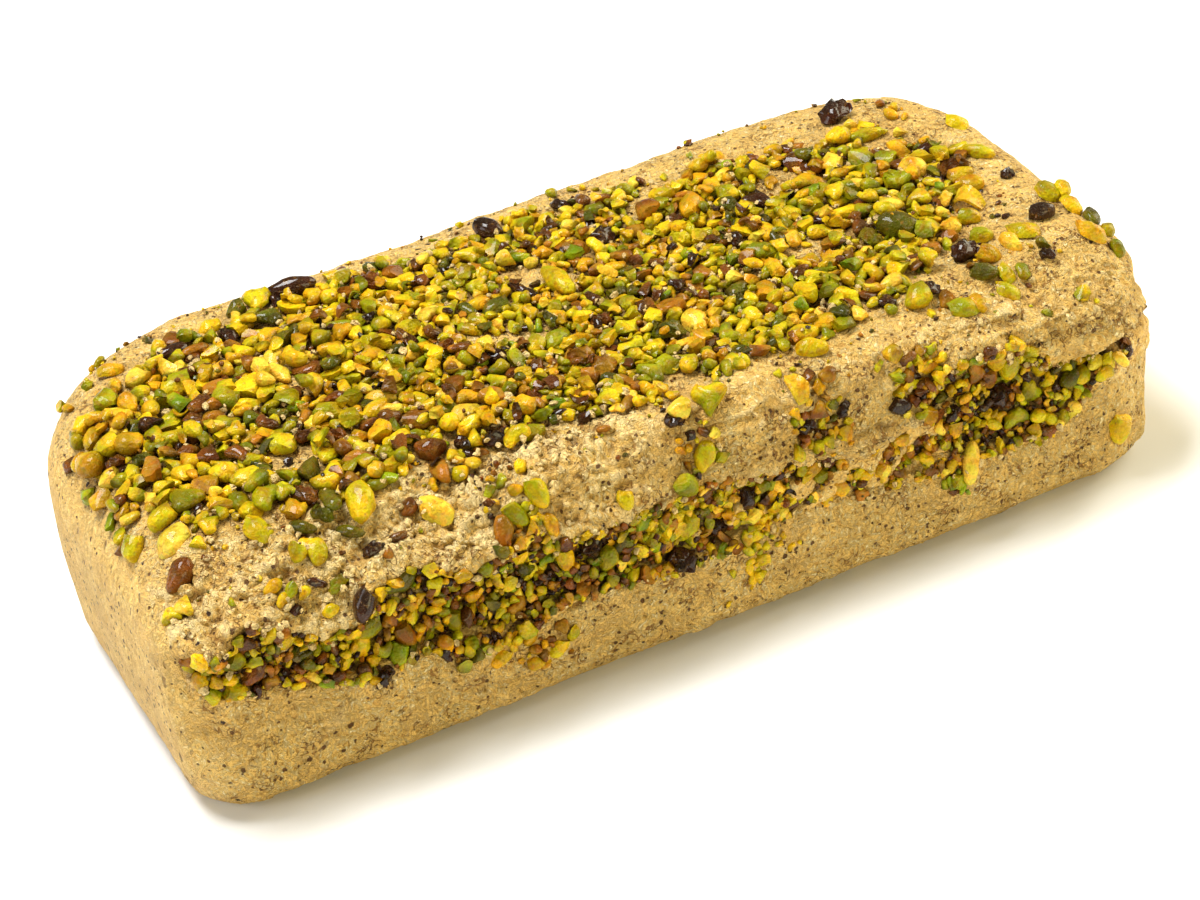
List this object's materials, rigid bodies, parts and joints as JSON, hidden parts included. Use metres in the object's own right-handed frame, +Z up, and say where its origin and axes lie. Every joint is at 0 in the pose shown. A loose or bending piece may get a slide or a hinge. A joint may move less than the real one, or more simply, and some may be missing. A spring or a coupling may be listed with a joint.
{
  "type": "pistachio halva loaf",
  "caption": "Moulded halva loaf broken open along its long face, with a band of chopped pistachios running through it and a carpet of them on top.",
  "frame": {"origin": "middle of the loaf's underside, on the surface it rests on", "axes": "+X along the loaf, -Y towards the long broken face that shows the filling, +Z up"},
  "size_m": [0.26, 0.13, 0.0647],
  "materials": {
    "halva": "dry, fibrous, faintly oily",
    "filling_nuts": "satin, mixed nut colours",
    "topping_nuts": "satin, mixed nut colours"
  },
  "bodies": {
    "root": {"halva_block": "halva", "pistachio_filling": "filling_nuts", "pistachio_topping": "topping_nuts"}
  },
  "joints": []
}
